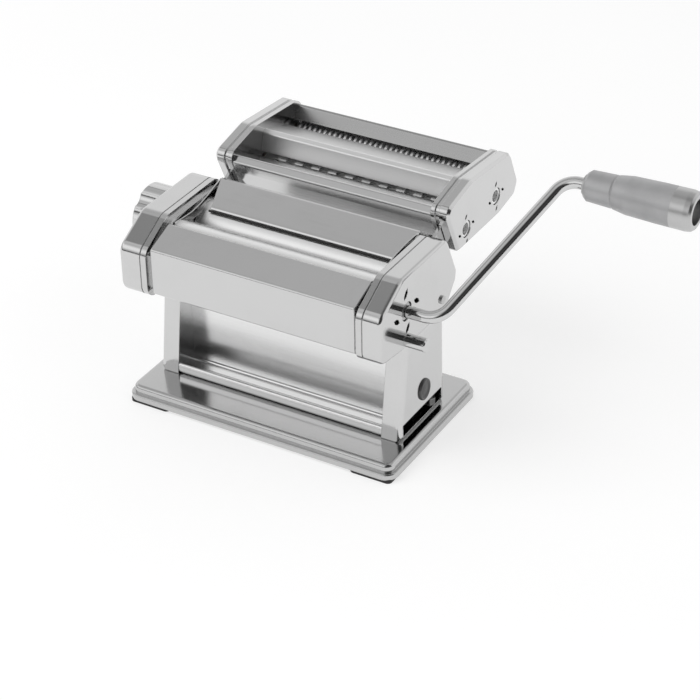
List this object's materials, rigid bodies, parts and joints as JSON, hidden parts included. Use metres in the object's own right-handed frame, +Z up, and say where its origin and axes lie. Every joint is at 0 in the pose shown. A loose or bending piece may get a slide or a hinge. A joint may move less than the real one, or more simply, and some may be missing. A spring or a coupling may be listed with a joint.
{
  "type": "pasta roller machine",
  "caption": "Hand-cranked table-top pasta machine: two smooth rollers with a gap knob, a lift-off cutter attachment with wide and narrow cutters, and a bent pull-out crank with a grip.",
  "frame": {"origin": "middle of the base's footprint at table level", "axes": "+X along the rollers towards the crank, -Y is the front where the sheet comes out, +Z up"},
  "size_m": [0.3625, 0.1998, 0.1875],
  "materials": {
    "chrome_plate": "mirror polished plating",
    "polished_sheet": "bright polished sheet",
    "brushed_steel": "machined",
    "dark_steel": "plain machined",
    "roller_aluminium": "ground and polished",
    "grip_aluminium": "satin light grey",
    "grip_ring": "bright turned",
    "brass": "plain turned",
    "rubber": "matt"
  },
  "bodies": {
    "machine": {"base_plate": "chrome_plate", "rubber_feet": "rubber", "foot_screws": "brushed_steel", "side_frame_left": "chrome_plate", "side_frame_right": "chrome_plate", "pillar_liner_left": "polished_sheet", "pillar_liner_right": "polished_sheet", "back_panel": "polished_sheet", "inner_plate_left": "polished_sheet", "inner_plate_right": "polished_sheet", "end_cover_left": "chrome_plate", "end_cover_right": "chrome_plate", "front_cover": "chrome_plate", "hopper_plate": "polished_sheet", "rear_cover": "polished_sheet", "tie_rods": "brushed_steel", "tie_rod_nuts": "brushed_steel", "front_scraper": "brushed_steel", "rear_scraper": "brushed_steel", "front_bushes": "brass", "motor_post": "chrome_plate", "cover_screws": "brushed_steel", "attachment_rails": "polished_sheet"},
    "front_roller": {"front_roller": "roller_aluminium", "front_roller_shaft": "dark_steel", "drive_socket": "brushed_steel", "front_gear": "dark_steel"},
    "rear_carriage": {"bearing_blocks": "brass"},
    "rear_roller": {"rear_roller": "roller_aluminium", "rear_roller_shaft": "dark_steel", "rear_gear": "dark_steel"},
    "regulator": {"regulator_cam": "dark_steel", "regulator_shaft": "dark_steel", "knob_spring": "dark_steel"},
    "knob": {"regulator_knob": "chrome_plate"},
    "crank": {"crank_rod": "chrome_plate", "crank_washers": "brushed_steel"},
    "grip": {"crank_grip": "grip_aluminium", "grip_end_ring": "grip_ring"},
    "cutter_frame": {"cutter_plate_left": "polished_sheet", "cutter_plate_right": "polished_sheet", "cutter_cover_left": "chrome_plate", "cutter_cover_right": "chrome_plate", "cutter_front_sheet": "polished_sheet", "cutter_middle_sheet": "polished_sheet", "cutter_rear_sheet": "polished_sheet", "cutter_tie_rods": "brushed_steel", "cutter_bushes": "brass", "wide_combs": "brushed_steel", "narrow_combs": "brushed_steel"},
    "wide_driver": {"wide_cutter_driver": "brushed_steel", "wide_driver_gear": "dark_steel"},
    "wide_driven": {"wide_cutter_driven": "brushed_steel", "wide_driven_gear": "dark_steel"},
    "narrow_driver": {"narrow_cutter_driver": "brushed_steel", "narrow_driver_gear": "dark_steel"},
    "narrow_driven": {"narrow_cutter_driven": "brushed_steel", "narrow_driven_gear": "dark_steel"}
  },
  "joints": [
    {"name": "crank_turn", "type": "hinge", "parent": "machine", "child": "front_roller", "pos_m": [0, -0.0273, 0.1107], "axis": [1, 0, 0], "continuous": true},
    {"name": "regulator_turn", "type": "hinge", "parent": "machine", "child": "regulator", "pos_m": [0, 0.0047, 0.1077], "axis": [-1, 0, 0], "range_deg": [0, 270]},
    {"name": "roller_gap", "type": "slide", "parent": "machine", "child": "rear_carriage", "axis": [0, 1, 0], "range_m": [0, 0.0022]},
    {"name": "rear_roller_turn", "type": "hinge", "parent": "rear_carriage", "child": "rear_roller", "pos_m": [0, 0.0087, 0.1107], "axis": [1, 0, 0], "continuous": true},
    {"name": "knob_pull", "type": "slide", "parent": "regulator", "child": "knob", "axis": [-1, 0, 0], "range_m": [0, 0.004], "stiffness_N_per_m": 900, "springref_m": -0.004, "deforming": ["knob_spring"]},
    {"name": "crank_pull", "type": "slide", "parent": "front_roller", "child": "crank", "axis": [1, 0, 0], "range_m": [0, 0.03]},
    {"name": "grip_spin", "type": "hinge", "parent": "crank", "child": "grip", "pos_m": [0.2, 0.066, 0.1744], "axis": [1, 0, 0], "continuous": true},
    {"name": "cutter_lift", "type": "slide", "parent": "machine", "child": "cutter_frame", "axis": [0, -0.4226, 0.9063], "range_m": [0, 0.06]},
    {"name": "wide_turn", "type": "hinge", "parent": "cutter_frame", "child": "wide_driver", "pos_m": [0, 0.0652, 0.1211], "axis": [1, 0, 0], "continuous": true},
    {"name": "wide_driven_turn", "type": "hinge", "parent": "cutter_frame", "child": "wide_driven", "pos_m": [0, 0.0822, 0.1211], "axis": [1, 0, 0], "continuous": true},
    {"name": "narrow_turn", "type": "hinge", "parent": "cutter_frame", "child": "narrow_driver", "pos_m": [0, 0.1075, 0.1248], "axis": [1, 0, 0], "continuous": true},
    {"name": "narrow_driven_turn", "type": "hinge", "parent": "cutter_frame", "child": "narrow_driven", "pos_m": [0, 0.1245, 0.1248], "axis": [1, 0, 0], "continuous": true}
  ],
  "couplings": [
    {"joint": "regulator_turn", "follows": "roller_gap", "rad_per_m": 2142},
    {"joint": "rear_roller_turn", "follows": "crank_turn", "ratio": -1},
    {"joint": "wide_driven_turn", "follows": "wide_turn", "ratio": -1},
    {"joint": "narrow_driven_turn", "follows": "narrow_turn", "ratio": -1}
  ]
}
